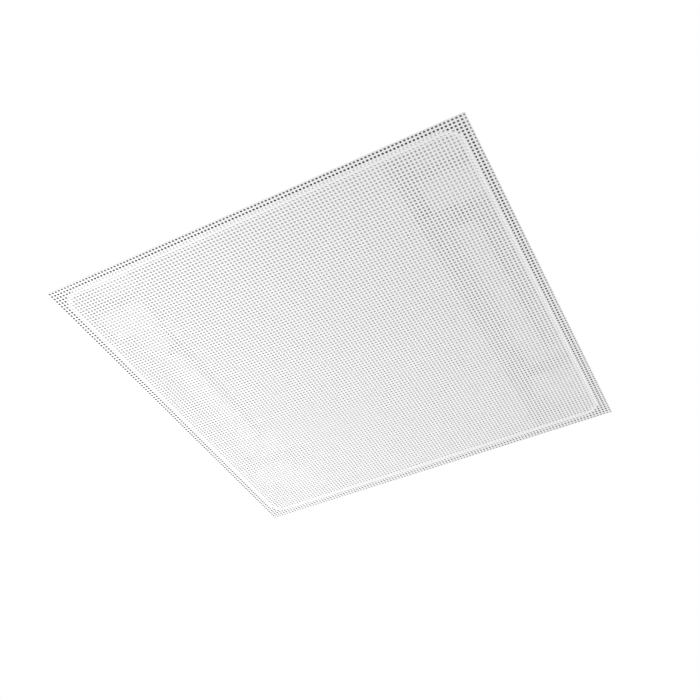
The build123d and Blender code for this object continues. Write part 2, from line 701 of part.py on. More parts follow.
# Hanger tabs: small Z brackets spot-welded to the tray's back
with BuildPart() as hanger_tabs:
    for side, end in CORNERS:
        with BuildSketch(Plane.YZ.offset(side * TAB_X)):
            with BuildLine():
                Polyline(
                    (end * (TAB_Y - 24), BACK),
                    (end * (TAB_Y - 9), BACK),
                    (end * (TAB_Y - 8), BACK + TAB_HIGH - TAB_THICK),
                    (end * (TAB_Y + 8), BACK + TAB_HIGH - TAB_THICK),
                    (end * (TAB_Y + 8), BACK + TAB_HIGH),
                    (end * (TAB_Y - 9), BACK + TAB_HIGH),
                    (end * (TAB_Y - 10), BACK + TAB_THICK),
                    (end * (TAB_Y - 24), BACK + TAB_THICK),
                    close=True,
                )
            make_face()
        extrude(amount=TAB_WIDE / 2, both=True)
    with BuildSketch(Plane.XY.offset(BACK + 5)):
        with Locations(*[(x * TAB_X, y * TAB_Y) for x, y in CORNERS]):
            Circle(TAB_HOLE_R)
    extrude(amount=10, mode=Mode.SUBTRACT)

pieces = {
    "perforated_face": perforated_face,
    "edge_frame": edge_frame,
    "rear_tray": rear_tray,
    "diffuser_cover": diffuser_cover,
    "diffuser_rails": diffuser_rails,
    **boards,
    "led_chips": led_chips,
    "board_plugs": board_plugs,
    "gear_screws": gear_screws,
    "driver_case": driver_case,
    "driver_end_caps": driver_end_caps,
    "module_case": module_case,
    "module_end_caps": module_end_caps,
    "led_leads": led_leads,
    "board_links": board_links,
    "control_leads": control_leads,
    "supply_leads": supply_leads,
    "wire_grommet": wire_grommet,
    "wiring_box": wiring_box,
    "wiring_box_lid": wiring_box_lid,
    "lid_hinge_pins": lid_hinge_pins,
    "box_screws": box_screws,
    "cable_bush": cable_bush,
    "cable_clamp": cable_clamp,
    "clamp_screws": clamp_screws,
    "terminal_block": terminal_block,
    **levers,
    "lever_pin": lever_pin,
    "earth_stud": earth_stud,
    "earth_tag": earth_tag,
    "earth_nut": earth_nut,
    "earth_lead": earth_lead,
    **clips,
    "clip_pivots": clip_pivots,
    "hanger_tabs": hanger_tabs,
}

os.makedirs("parts", exist_ok=True)
for name, piece in pieces.items():
    piece.part.label = name
    export_step(piece.part, f"parts/{name}.step")
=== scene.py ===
import json
from math import pi, radians, sin

import bmesh
import bpy
import numpy as np
from bpy.props import FloatProperty, FloatVectorProperty, IntProperty, PointerProperty
from mathutils import Matrix, Vector


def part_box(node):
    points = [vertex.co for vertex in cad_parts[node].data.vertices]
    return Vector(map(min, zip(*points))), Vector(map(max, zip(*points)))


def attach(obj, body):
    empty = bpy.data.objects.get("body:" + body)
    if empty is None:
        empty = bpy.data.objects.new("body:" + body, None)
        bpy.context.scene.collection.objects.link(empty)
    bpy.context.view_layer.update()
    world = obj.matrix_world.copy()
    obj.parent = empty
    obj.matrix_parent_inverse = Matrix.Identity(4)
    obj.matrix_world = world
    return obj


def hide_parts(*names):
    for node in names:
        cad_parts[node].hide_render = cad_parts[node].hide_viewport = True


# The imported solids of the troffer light, which every piece here is fitted to
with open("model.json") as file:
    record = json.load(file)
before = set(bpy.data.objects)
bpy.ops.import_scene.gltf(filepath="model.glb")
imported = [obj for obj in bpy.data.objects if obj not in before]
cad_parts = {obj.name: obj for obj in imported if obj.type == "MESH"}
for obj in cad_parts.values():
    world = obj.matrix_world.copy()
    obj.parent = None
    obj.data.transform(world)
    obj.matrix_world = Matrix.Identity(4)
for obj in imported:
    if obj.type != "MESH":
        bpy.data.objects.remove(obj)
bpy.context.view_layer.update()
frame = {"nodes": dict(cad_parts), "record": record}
SLOTS = {row["node"]: row["material_slot"] for row in frame["record"]["subparts"]}

bl_info = {
    "name": "Recessed troffer light",
    "version": (1, 0, 0),
    "blender": (4, 5, 0),
    "location": "3D View > Sidebar > Troffer",
    "description": "Dresses the solids of a lay-in ceiling light with a perforated face",
    "category": "Add Mesh",
}

MM = 0.001
HOUSING = "housing"
# pieces that move, with the body that each rides on
BODIES = {
    "wiring_box_lid": "box_lid",
    "lever_live": "live_lever",
    "lever_neutral": "neutral_lever",
    "lever_earth": "earth_lever",
    "swing_clip_left_near": "clip_left_near",
    "swing_clip_left_far": "clip_left_far",
    "swing_clip_right_near": "clip_right_near",
    "swing_clip_right_far": "clip_right_far",
}

# corners of a CAD node's loose triangles closer than this are one corner, in metres
MERGE_REACH = 1e-6
# neighbours that turn less than this are one flat face, in degrees
FLAT_TURN = 1.0
# edges that turn more than this are rounded, in degrees
SHARP_TURN = 50.0
# faces round a lead turn less than this to the next one, in degrees
LEAD_TURN = 65.0
# widths of the rounded edges, in mm
TAB_EDGE = 0.25
CASE_EDGE = 0.4
THIN_EDGE = 0.2

# sides of a hole, and strips that the face is made in
HOLE_SIDES = 8
FACE_STRIPS = 4
# least metal between a hole and the sheet's edge, in mm
EDGE_WEB = 0.3

# a finish's darker patches, as a share of its colour
COAT_SHADE = 0.86
PLASTIC_SHADE = 0.8
COAT_IOR = 1.45
# how often the patterns repeat in each metre
BROAD_LUMPS = 26.0
SLOW_GRAIN = 60.0
PLASTIC_PATCHES = 22.0
FLOOR_PATCHES = 0.8
CORE_STRIPES = 60.0
# scratches are long in X and close together in Y
SCRATCH_STRETCH = (120.0, 2600.0, 900.0)
# depths of the finishes, in mm
ZINC_DEPTH = 0.004
CORE_DEPTH = 0.006
FLOOR_ROUGHNESS = 0.9

# colours of the cores and of the levers that hold them
BROWN = (0.16, 0.06, 0.025)
BLUE = (0.02, 0.10, 0.36)
LEVER_GREEN = (0.04, 0.28, 0.05)
CORE_GREEN = (0.05, 0.25, 0.05)
CORE_YELLOW = (0.7, 0.6, 0.04)


# ---------------------------------------------------------------------------------------------
# Sizes and colours that a user would change
# ---------------------------------------------------------------------------------------------
class FaceSizes(bpy.types.PropertyGroup):
    """The perforated face sheet."""

    rows: IntProperty(name="Rows of holes", description="Rows of holes each way", default=119)
    pitch: FloatProperty(
        name="Pitch", description="Spacing of the holes, in mm", default=5.0, min=2.0
    )
    hole: FloatProperty(
        name="Hole", description="Diameter of a hole, in mm", default=3.2, min=0.5
    )
    shift: FloatProperty(
        name="Shift",
        description="How far the field of holes stands off the middle towards +X, in mm",
        default=1.2,
    )


class Finishes(bpy.types.PropertyGroup):
    """Colours of the finishes."""

    coat: FloatVectorProperty(
        name="Powder coat", description="Colour of face and tray", subtype="COLOR",
        default=(0.87, 0.87, 0.87), min=0.0, max=1.0,
    )
    opal: FloatVectorProperty(
        name="Opal", description="Colour of the diffuser", subtype="COLOR",
        default=(0.93, 0.93, 0.925), min=0.0, max=1.0,
    )
    lining: FloatVectorProperty(
        name="Reflector white", description="Colour of the tray and the gear in it",
        subtype="COLOR", default=(0.92, 0.92, 0.92), min=0.0, max=1.0,
    )
    # the edge frame's grey is partly the zinc plate's own grey and partly painted shade: it is
    # kept dark to stand for the shade in the gap that the margin's holes look into
    frame: FloatVectorProperty(
        name="Edge frame", description="Colour of the folded frame behind the margin",
        subtype="COLOR", default=(0.5, 0.505, 0.51), min=0.0, max=1.0,
    )
    peel: FloatProperty(
        name="Orange peel", description="Depth of the powder coat's ripple, in mm",
        default=0.02, min=0.0,
    )


class StageLevels(bpy.types.PropertyGroup):
    """Floor and lights."""

    floor: FloatProperty(
        name="Floor", description="Height of the floor under the face, in metres",
        default=-2.4, unit="LENGTH",
    )
    sky: FloatProperty(name="Sky", description="Strength of the even light", default=0.58)
    key: FloatProperty(
        name="Key", description="Power of the large soft lamp below the face", default=31.0,
        unit="POWER",
    )


def settings(context, group):
    """The scene's own values of one group of sizes, colours or levels."""
    return getattr(context.scene, "troffer_" + group)


# ---------------------------------------------------------------------------------------------
# Shader node groups and materials
# ---------------------------------------------------------------------------------------------
def new_group(name, inputs, outputs):
    """Shader node group with float, colour or vector sockets, and its input and output nodes."""
    group = bpy.data.node_groups.new(name, "ShaderNodeTree")
    for label, kind, default in inputs:
        socket = group.interface.new_socket(label, in_out="INPUT", socket_type=kind)
        if default is not None:
            socket.default_value = default
    for label, kind in outputs:
        group.interface.new_socket(label, in_out="OUTPUT", socket_type=kind)
    return group, group.nodes.new("NodeGroupInput"), group.nodes.new("NodeGroupOutput")


def node(tree, kind, values=None, **attributes):
    """A node with its attributes set, and its inputs set or linked by name or number."""
    made = tree.nodes.new("ShaderNode" + kind)
    for key, value in attributes.items():
        setattr(made, key, value)
    for key, value in (values or {}).items():
        if isinstance(value, bpy.types.NodeSocket):
            tree.links.new(value, made.inputs[key])
        else:
            made.inputs[key].default_value = value
    return made


def math_of(tree, operation, first, second):
    """Output of a Math node."""
    return node(tree, "Math", {0: first, 1: second}, operation=operation).outputs[0]


def spread(tree, value, start, end, to_start, to_end):
    """Value moved from the range start to end over to the range to_start to to_end."""
    sockets = {0: value, 1: start, 2: end, 3: to_start, 4: to_end}
    return node(tree, "MapRange", sockets).outputs[0]


def colour_mix(tree, amount, first, second, blend_type="MIX"):
    """First colour with an amount of the second one."""
    sockets = {0: amount, 6: first, 7: second}
    return node(tree, "Mix", sockets, data_type="RGBA", blend_type=blend_type).outputs[2]


FLOAT, COLOUR = "NodeSocketFloat", "NodeSocketColor"


def object_place(tree):
    """Place on the piece itself, in metres."""
    return tree.nodes.new("ShaderNodeTexCoord").outputs["Object"]


def peel_group():
    """Powder coat's orange peel: two sizes of smooth noise, as a height and a roughness."""
    group, into, out = new_group(
        "orange_peel",
        [("Lumps per metre", FLOAT, 620.0), ("Dull", FLOAT, 0.5), ("Spread", FLOAT, 0.08)],
        [("Height", FLOAT), ("Roughness", FLOAT)],
    )
    place = object_place(group)
    scale = into.outputs["Lumps per metre"]
    lumps = node(group, "TexNoise", {"Vector": place, "Scale": scale, "Detail": 1.5})
    broad = node(group, "TexNoise", {"Vector": place, "Scale": BROAD_LUMPS, "Detail": 3.0})
    swing = math_of(group, "SUBTRACT", broad.outputs["Fac"], 0.5)
    scaled = math_of(group, "MULTIPLY", swing, into.outputs["Spread"])
    rough = math_of(group, "ADD", into.outputs["Dull"], scaled)
    group.links.new(lumps.outputs["Fac"], out.inputs["Height"])
    group.links.new(rough, out.inputs["Roughness"])
    return group


def mottle_group():
    """Slow change of a colour between two shades, as dust and handling leave on a surface."""
    group, into, out = new_group(
        "mottle",
        [
            ("Colour", COLOUR, (0.8, 0.8, 0.8, 1)),
            ("Shade", COLOUR, (0.7, 0.7, 0.7, 1)),
            ("Patches per metre", FLOAT, 9.0),
            ("Amount", FLOAT, 0.2),
        ],
        [("Colour", COLOUR)],
    )
    place = object_place(group)
    scale = into.outputs["Patches per metre"]
    patches = node(
        group, "TexNoise", {"Vector": place, "Scale": scale, "Detail": 5.0, "Roughness": 0.6}
    )
    mask = spread(group, patches.outputs["Fac"], 0.35, 0.7, 0.0, 1.0)
    amount = math_of(group, "MULTIPLY", mask, into.outputs["Amount"])
    mixed = colour_mix(group, amount, into.outputs["Colour"], into.outputs["Shade"])
    group.links.new(mixed, out.inputs["Colour"])
    return group


def grain_group():
    """Moulded plastic's spark-eroded grain: fine noise as a height and a roughness."""
    group, into, out = new_group(
        "moulded_grain",
        [("Grains per metre", FLOAT, 2600.0), ("Dull", FLOAT, 0.45)],
        [("Height", FLOAT), ("Roughness", FLOAT)],
    )
    place = object_place(group)
    scale = into.outputs["Grains per metre"]
    fine = node(group, "TexNoise", {"Vector": place, "Scale": scale, "Detail": 2.0})
    slow = node(group, "TexNoise", {"Vector": place, "Scale": SLOW_GRAIN, "Detail": 2.0})
    swing = spread(group, slow.outputs["Fac"], 0.3, 0.7, -0.05, 0.05)
    rough = math_of(group, "ADD", into.outputs["Dull"], swing)
    group.links.new(fine.outputs["Fac"], out.inputs["Height"])
    group.links.new(rough, out.inputs["Roughness"])
    return group


def spangle_group():
    """Zinc plate: crystal cells that each take a shade, with fine scratches along X."""
    group, into, out = new_group(
        "zinc_spangle",
        [
            ("Crystals per metre", FLOAT, 160.0),
            ("Colour", COLOUR, (0.6, 0.61, 0.62, 1)),
            ("Contrast", FLOAT, 0.25),
        ],
        [("Colour", COLOUR), ("Roughness", FLOAT), ("Height", FLOAT)],
    )
    place = object_place(group)
    scale = into.outputs["Crystals per metre"]
    cells = node(group, "TexVoronoi", {"Vector": place, "Scale": scale})
    grey = node(group, "SeparateColor", {0: cells.outputs["Color"]})
    shade = spread(group, grey.outputs[0], 0.0, 1.0, 0.75, 1.0)
    contrast, colour = into.outputs["Contrast"], into.outputs["Colour"]
    tinted = colour_mix(group, contrast, colour, shade, blend_type="MULTIPLY")
    rough = spread(group, grey.outputs[1], 0.0, 1.0, 0.32, 0.5)
    stretched = node(group, "Mapping", {0: place, 3: SCRATCH_STRETCH})
    lines = node(group, "TexNoise", {"Vector": stretched.outputs[0], "Scale": 1.0, "Detail": 2.0})
    group.links.new(tinted, out.inputs["Colour"])
    group.links.new(rough, out.inputs["Roughness"])
    group.links.new(lines.outputs["Fac"], out.inputs["Height"])
    return group


GROUP_MAKERS = {
    "peel": peel_group,
    "mottle": mottle_group,
    "grain": grain_group,
    "spangle": spangle_group,
}
GROUPS = {}


def effect(tree, name, **values):
    """Places one of the shared effects in a material with its own values."""
    if name not in GROUPS:
        GROUPS[name] = GROUP_MAKERS[name]()
    placed = tree.nodes.new("ShaderNodeGroup")
    placed.node_tree = GROUPS[name]
    for key, value in values.items():
        socket = placed.inputs[key.replace("_", " ")]
        if isinstance(value, bpy.types.NodeSocket):
            tree.links.new(value, socket)
        else:
            socket.default_value = value
    return placed


def blank_material(name):
    """New material that holds only a Principled shader and its output."""
    material = bpy.data.materials.new(name)
    material.use_nodes = True
    tree = material.node_tree
    tree.nodes.clear()
    shader = tree.nodes.new("ShaderNodeBsdfPrincipled")
    out = tree.nodes.new("ShaderNodeOutputMaterial")
    tree.links.new(shader.outputs[0], out.inputs[0])
    return material, tree, shader


def bump(tree, shader, height, depth_mm):
    """Turns the shader's normals by a height of at most depth_mm."""
    made = node(tree, "Bump", {"Height": height, "Strength": 1.0, "Distance": depth_mm * MM})
    tree.links.new(made.outputs[0], shader.inputs["Normal"])


def coated(name, colour, dull=0.5, lumps=620.0, depth=0.02, dust=0.12):
    """Powder-coated sheet steel."""
    material, tree, shader = blank_material(name)
    shade = tuple(COAT_SHADE * c for c in colour)
    peel = effect(tree, "peel", Lumps_per_metre=lumps, Dull=dull)
    tint = effect(tree, "mottle", Colour=(*colour, 1), Shade=(*shade, 1), Amount=dust)
    tree.links.new(tint.outputs[0], shader.inputs["Base Color"])
    tree.links.new(peel.outputs["Roughness"], shader.inputs["Roughness"])
    bump(tree, shader, peel.outputs["Height"], depth)
    shader.inputs["IOR"].default_value = COAT_IOR
    return material


def moulded(name, colour, dull=0.42, grains=2600.0, depth=0.006, dust=0.1):
    """Moulded plastic or rubber."""
    material, tree, shader = blank_material(name)
    shade = tuple(PLASTIC_SHADE * c for c in colour)
    grain = effect(tree, "grain", Grains_per_metre=grains, Dull=dull)
    tint = effect(
        tree, "mottle", Colour=(*colour, 1), Shade=(*shade, 1),
        Patches_per_metre=PLASTIC_PATCHES, Amount=dust,
    )
    tree.links.new(tint.outputs[0], shader.inputs["Base Color"])
    tree.links.new(grain.outputs["Roughness"], shader.inputs["Roughness"])
    bump(tree, shader, grain.outputs["Height"], depth)
    return material


def zinc(name, colour, crystals=160.0, contrast=0.25):
    """Zinc-plated steel."""
    material, tree, shader = blank_material(name)
    plate = effect(
        tree, "spangle", Crystals_per_metre=crystals, Colour=(*colour, 1), Contrast=contrast
    )
    tree.links.new(plate.outputs["Colour"], shader.inputs["Base Color"])
    tree.links.new(plate.outputs["Roughness"], shader.inputs["Roughness"])
    bump(tree, shader, plate.outputs["Height"], ZINC_DEPTH)
    shader.inputs["Metallic"].default_value = 1.0
    return material


MATERIALS = {}


def make_materials(finishes):
    """Makes the material of every slot."""
    coat, opal, lining = tuple(finishes.coat), tuple(finishes.opal), tuple(finishes.lining)
    MATERIALS.update(
        face_paint=coated("face_paint", coat, depth=finishes.peel),
        tray_paint=coated("tray_paint", lining, depth=finishes.peel, dust=0.2),
        # grey paint on the edge frame: partly its zinc grey, partly painted shade for the shaded
        # gap behind the margin's holes
        frame_zinc=coated("frame_zinc", tuple(finishes.frame), depth=0.008, dust=0.4),
        rail_steel=coated("rail_steel", lining, depth=finishes.peel),
        gear_case_paint=coated("gear_case_paint", (0.93, 0.93, 0.93), dull=0.4, depth=0.01),
        opal=moulded("opal", opal, dull=0.3, grains=900.0, depth=0.004),
        board_white=moulded("board_white", (0.78, 0.78, 0.75), dull=0.35),
        phosphor=moulded("phosphor", (0.85, 0.62, 0.12), dull=0.4),
        plug_white=moulded("plug_white", (0.8, 0.8, 0.76)),
        cap_plastic=moulded("cap_plastic", (0.9, 0.9, 0.895)),
        lead_white=moulded("lead_white", (0.7, 0.7, 0.68), dull=0.35),
        core_brown=moulded("core_brown", BROWN, dull=0.35),
        core_blue=moulded("core_blue", BLUE, dull=0.35),
        grommet_rubber=moulded("grommet_rubber", (0.02, 0.02, 0.02), dull=0.6),
        box_plastic=moulded("box_plastic", (0.62, 0.62, 0.6), dull=0.45, depth=0.01),
        terminal_grey=moulded("terminal_grey", (0.27, 0.28, 0.29)),
        lever_brown=moulded("lever_brown", BROWN),
        lever_blue=moulded("lever_blue", BLUE),
        lever_green=moulded("lever_green", LEVER_GREEN),
        zinc_steel=zinc("zinc_steel", (0.62, 0.63, 0.64)),
        screw_steel=zinc("screw_steel", (0.58, 0.58, 0.6), crystals=500.0, contrast=0.1),
        tin_brass=zinc("tin_brass", (0.7, 0.66, 0.52), crystals=700.0, contrast=0.1),
    )
    MATERIALS["supply_cores"] = MATERIALS["core_brown"]
    MATERIALS["earth_core"] = striped_core()


def striped_core():
    """Green and yellow earth core: slanting stripes."""
    material, tree, shader = blank_material("earth_core")
    grain = effect(tree, "grain", Dull=0.35)
    place = object_place(tree)
    sockets = {"Vector": place, "Scale": CORE_STRIPES}
    wave = node(tree, "TexWave", sockets, bands_direction="DIAGONAL")
    mask = spread(tree, wave.outputs["Fac"], 0.55, 0.6, 0.0, 1.0)
    mixed = colour_mix(tree, mask, (*CORE_GREEN, 1), (*CORE_YELLOW, 1))
    tree.links.new(mixed, shader.inputs["Base Color"])
    tree.links.new(grain.outputs["Roughness"], shader.inputs["Roughness"])
    bump(tree, shader, grain.outputs["Height"], CORE_DEPTH)
    return material


# ---------------------------------------------------------------------------------------------
# CAD nodes dressed as they are, or replaced by finer copies
# ---------------------------------------------------------------------------------------------
def dress(*names):
    """Gives CAD nodes the material of their slot."""
    for name in names:
        frame["nodes"][name].material_slots[0].material = MATERIALS[SLOTS[name]]


def add_piece(mesh, *nodes):
    """Shows a mesh in the place of CAD nodes, on their body and with their slot's material."""
    piece = bpy.data.objects.new(mesh.name, mesh)
    bpy.context.scene.collection.objects.link(piece)
    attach(piece, BODIES.get(nodes[0], HOUSING))
    mesh.materials.append(MATERIALS[SLOTS[nodes[0]]])
    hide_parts(*nodes)
    return piece


def merged_copy(name):
    """Editable copy of a CAD node with its loose triangles merged into flat faces."""
    build = bmesh.new()
    build.from_mesh(frame["nodes"][name].data)
    bmesh.ops.remove_doubles(build, verts=build.verts, dist=MERGE_REACH)
    bmesh.ops.dissolve_limit(
        build, angle_limit=radians(FLAT_TURN), verts=build.verts, edges=build.edges
    )
    return build


def in_place_of(name, build, suffix):
    """Turns the edited copy into a piece that stands for its CAD node."""
    mesh = bpy.data.meshes.new(name + suffix)
    build.to_mesh(mesh)
    build.free()
    return add_piece(mesh, name)


def soften(width, *names):
    """Puts in the place of CAD nodes their merged copies, with edges rounded over width mm."""
    for name in names:
        piece = in_place_of(name, merged_copy(name), "_soft")
        piece.data.shade_flat()
        bevel = piece.modifiers.new("soft_edges", "BEVEL")
        bevel.width, bevel.segments = width * MM, 2
        bevel.limit_method, bevel.angle_limit = "ANGLE", radians(SHARP_TURN)


def linked_faces(build):
    """Lists of faces that hang together, one list for each lead."""
    left, groups = set(build.faces), []
    while left:
        group, waiting = [], [left.pop()]
        while waiting:
            group.append(waiting.pop())
            near = {face for edge in group[-1].edges for face in edge.link_faces} & left
            left -= near
            waiting.extend(near)
        groups.append(group)
    return groups


def middle_x(faces):
    """Mean place of the faces along X."""
    return sum(face.calc_center_median().x for face in faces) / len(faces)


def rounded_leads(name, *colours):
    """Leads shaded round. Where colours are given, each lead takes its own, from -X to +X."""
    build = merged_copy(name)
    if colours:
        for number, lead in enumerate(sorted(linked_faces(build), key=middle_x)):
            for face in lead:
                face.material_index = number
    mesh = in_place_of(name, build, "_round").data
    if colours:
        mesh.materials.clear()
        for colour in colours:
            mesh.materials.append(MATERIALS[colour])
    mesh.shade_smooth()
    mesh.set_sharp_from_angle(angle=radians(LEAD_TURN))


# ---------------------------------------------------------------------------------------------
# Perforated face
# ---------------------------------------------------------------------------------------------
def mesh_of(name, points, blocks):
    """Mesh from an (n, 3) array of points in mm and blocks of corner numbers.

    Each block is an (m, k) array: m faces of k corners, counter-clockwise from outside.
    """
    mesh = bpy.data.meshes.new(name)
    corners = np.concatenate([block.ravel() for block in blocks])
    sizes = np.concatenate([np.full(len(block), block.shape[1]) for block in blocks])
    mesh.vertices.add(len(points))
    mesh.vertices.foreach_set("co", (points * MM).astype(np.float32).ravel())
    mesh.loops.add(len(corners))
    mesh.loops.foreach_set("vertex_index", corners.astype(np.int32))
    mesh.polygons.add(len(sizes))
    starts = np.concatenate([[0], np.cumsum(sizes)[:-1]])
    mesh.polygons.foreach_set("loop_start", starts.astype(np.int32))
    mesh.update(calc_edges=True)
    mesh.shade_flat()
    return mesh


def perforated_strip(edges_x, edges_y, holes_x, holes_y, radius, thick):
    """Sheet with a field of holes: one square cell for each hole, cut to an eight-sided hole.

    Corner (i, j) of a cell is (edges_x[i], edges_y[j]). Hole point k of cell (i, j) is
    (holes_x[i] + r cos a, holes_y[j] + r sin a), with a = (k + 1/2) 45 degrees, held EDGE_WEB
    inside the sheet's edge. Both are at height 0 and at the sheet's thickness.
    """
    nx, ny = len(holes_x), len(holes_y)
    corner_xy = np.stack(np.meshgrid(edges_x, edges_y, indexing="ij"), -1).reshape(-1, 2)
    angle = (np.arange(HOLE_SIDES) + 0.5) * 2 * pi / HOLE_SIDES
    middle = np.stack(np.meshgrid(holes_x, holes_y, indexing="ij"), -1).reshape(-1, 1, 2)
    ring_xy = (middle + radius * np.stack([np.cos(angle), np.sin(angle)], -1)).reshape(-1, 2)
    lowest = np.array((edges_x[0], edges_y[0])) + EDGE_WEB
    highest = np.array((edges_x[-1], edges_y[-1])) - EDGE_WEB
    ring_xy = np.clip(ring_xy, lowest, highest)
    flat = np.concatenate([corner_xy, ring_xy])
    levels = [np.column_stack([flat, np.full(len(flat), z)]) for z in (0.0, thick)]
    points = np.concatenate(levels)
    up = len(flat)
    i, j = np.meshgrid(np.arange(nx), np.arange(ny), indexing="ij")
    low_left = (i * (ny + 1) + j).ravel()
    a, b, c, d = low_left, low_left + ny + 1, low_left + ny + 2, low_left + 1
    ring = np.arange(nx * ny)[:, None] * HOLE_SIDES + np.arange(HOLE_SIDES)
    ring = (len(corner_xy) + ring).T
    sides = ((b, c, 0, 7), (c, d, 2, 1), (d, a, 4, 3), (a, b, 6, 5))
    quads = np.concatenate([np.stack([p, q, ring[m], ring[n]], -1) for p, q, m, n in sides])
    tips = ((c, 1, 0), (d, 3, 2), (a, 5, 4), (b, 7, 6))
    triangles = np.concatenate([np.stack([p, ring[m], ring[n]], -1) for p, m, n in tips])
    here, after = ring, np.roll(ring, -1, axis=0)
    walls = np.stack([here, here + up, after + up, after], -1).reshape(-1, 4)
    number = np.arange(len(corner_xy)).reshape(nx + 1, ny + 1)
    loop = np.concatenate([number[:, 0], number[-1, 1:], number[-2::-1, -1], number[0, -2:0:-1]])
    loop_after = np.roll(loop, -1)
    rim = np.stack([loop, loop_after, loop_after + up, loop + up], -1)
    blocks = [quads + up, quads[:, ::-1], triangles + up, triangles[:, ::-1], walls, rim]
    return points, blocks


class TROFFER_OT_face(bpy.types.Operator):
    """Perforated face sheet, in four strips that meet along their cells"""

    bl_idname = "troffer.face"
    bl_label = "Perforated face"

    def execute(self, context):
        sizes = settings(context, "face")
        low, high = [np.array(corner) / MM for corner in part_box("perforated_face")]
        steps = (np.arange(sizes.rows) - (sizes.rows - 1) / 2) * sizes.pitch
        holes_x, holes_y = steps + sizes.shift, steps
        edges = []
        for holes, lowest, highest in ((holes_x, low[0], high[0]), (holes_y, low[1], high[1])):
            edges.append(np.concatenate([[lowest], (holes[1:] + holes[:-1]) / 2, [highest]]))
        # to the corners of a hole that has the area of the round one
        radius = sizes.hole / 2 * np.sqrt(2 * pi / (HOLE_SIDES * sin(2 * pi / HOLE_SIDES)))
        cuts = np.linspace(0, sizes.rows, FACE_STRIPS + 1).astype(int)
        for number, (first, last) in enumerate(zip(cuts[:-1], cuts[1:]), start=1):
            points, blocks = perforated_strip(
                edges[0][first : last + 1], edges[1], holes_x[first:last], holes_y, radius, high[2]
            )
            add_piece(mesh_of(f"perforated_face_{number}", points, blocks), "perforated_face")
        return {"FINISHED"}


# ---------------------------------------------------------------------------------------------
# Tray, light engine and gear
# ---------------------------------------------------------------------------------------------
class TROFFER_OT_tray(bpy.types.Operator):
    """Pressed rear tray with its edge frame and hanger tabs"""

    bl_idname = "troffer.tray"
    bl_label = "Rear tray"

    def execute(self, context):
        dress("rear_tray", "edge_frame")
        soften(TAB_EDGE, "hanger_tabs")
        return {"FINISHED"}


class TROFFER_OT_light_engine(bpy.types.Operator):
    """Opal diffuser, its rails, and the light boards behind it"""

    bl_idname = "troffer.light_engine"
    bl_label = "Light engine"

    def execute(self, context):
        dress("diffuser_cover", "diffuser_rails", "led_board_left", "led_board_centre",
              "led_board_right", "led_chips", "board_plugs")
        return {"FINISHED"}


class TROFFER_OT_gear(bpy.types.Operator):
    """Driver and control module"""

    bl_idname = "troffer.gear"
    bl_label = "Gear"

    def execute(self, context):
        dress("gear_screws")
        soften(CASE_EDGE, "driver_case", "driver_end_caps", "module_case", "module_end_caps")
        return {"FINISHED"}


class TROFFER_OT_leads(bpy.types.Operator):
    """Leads inside the tray and the wiring box"""

    bl_idname = "troffer.leads"
    bl_label = "Leads"

    def execute(self, context):
        dress("wire_grommet")
        for name in ("led_leads", "board_links", "control_leads", "earth_lead"):
            rounded_leads(name)
        rounded_leads("supply_leads", "core_brown", "core_blue", "earth_core")
        return {"FINISHED"}


class TROFFER_OT_wiring_box(bpy.types.Operator):
    """Wiring box with its lid, cable bush, clamp, terminals and earth stud"""

    bl_idname = "troffer.wiring_box"
    bl_label = "Wiring box"

    def execute(self, context):
        dress("lid_hinge_pins", "box_screws", "clamp_screws", "lever_pin", "earth_stud",
              "earth_tag", "earth_nut")
        soften(CASE_EDGE, "wiring_box", "wiring_box_lid", "cable_bush", "cable_clamp",
               "terminal_block")
        soften(THIN_EDGE, "lever_live", "lever_neutral", "lever_earth")
        return {"FINISHED"}


class TROFFER_OT_clips(bpy.types.Operator):
    """Swing clips and their pivots"""

    bl_idname = "troffer.clips"
    bl_label = "Swing clips"

    def execute(self, context):
        dress("clip_pivots")
        soften(THIN_EDGE, "swing_clip_left_near", "swing_clip_left_far",
               "swing_clip_right_near", "swing_clip_right_far")
        return {"FINISHED"}


# ---------------------------------------------------------------------------------------------
# Stage
# ---------------------------------------------------------------------------------------------
# the camera's place, and the picture's right, down and forward, in the light's own axes
CAMERA_PLACE = (0.4394786, -0.90500617, -0.9480186)
CAMERA_RIGHT = (0.8908316, 0.45385006, -0.02095659)
CAMERA_DOWN = (-0.32738434, 0.60925098, -0.72224147)
CAMERA_FORWARD = (-0.31502151, 0.65025638, 0.69132343)
CAMERA_LENS = 50.0
SENSOR = 36.0

# half the floor's side and the lamps' places and diameters in metres, and a power in watts
FLOOR_HALF = 12.0
KEY_PLACE, KEY_WIDTH = (-1.3, 0.4, -1.4), 1.0
TOP_PLACE, TOP_WIDTH, TOP_POWER = (-1.0, -1.2, 2.2), 1.6, 15.0
WHITE = (1.0, 1.0, 1.0, 1)
FLOOR_GREY = (0.82, 0.82, 0.82, 1)
FLOOR_SHADE = (0.8, 0.8, 0.8, 1)
# light goes this often from one white face to the next between the sheet and the tray
BOUNCES = 12


def add_camera(scene):
    """Camera whose own X, Y and -Z are the picture's right, up and forward."""
    data = bpy.data.cameras.new("camera")
    data.lens, data.sensor_width = CAMERA_LENS, SENSOR
    camera = bpy.data.objects.new("camera", data)
    scene.collection.objects.link(camera)
    axes = Matrix((CAMERA_RIGHT, [-v for v in CAMERA_DOWN], [-v for v in CAMERA_FORWARD]))
    camera.matrix_world = Matrix.Translation(CAMERA_PLACE) @ axes.transposed().to_4x4()
    scene.camera = camera


def add_lamp(scene, name, place, width, power):
    """Round soft lamp that faces the middle of the light's face, and isn't seen itself."""
    data = bpy.data.lights.new(name, "AREA")
    data.shape, data.size, data.energy = "DISK", width, power
    lamp = bpy.data.objects.new(name, data)
    scene.collection.objects.link(lamp)
    lamp.location = place
    lamp.rotation_euler = (-Vector(place)).to_track_quat("-Z", "Y").to_euler()
    lamp.visible_camera = False


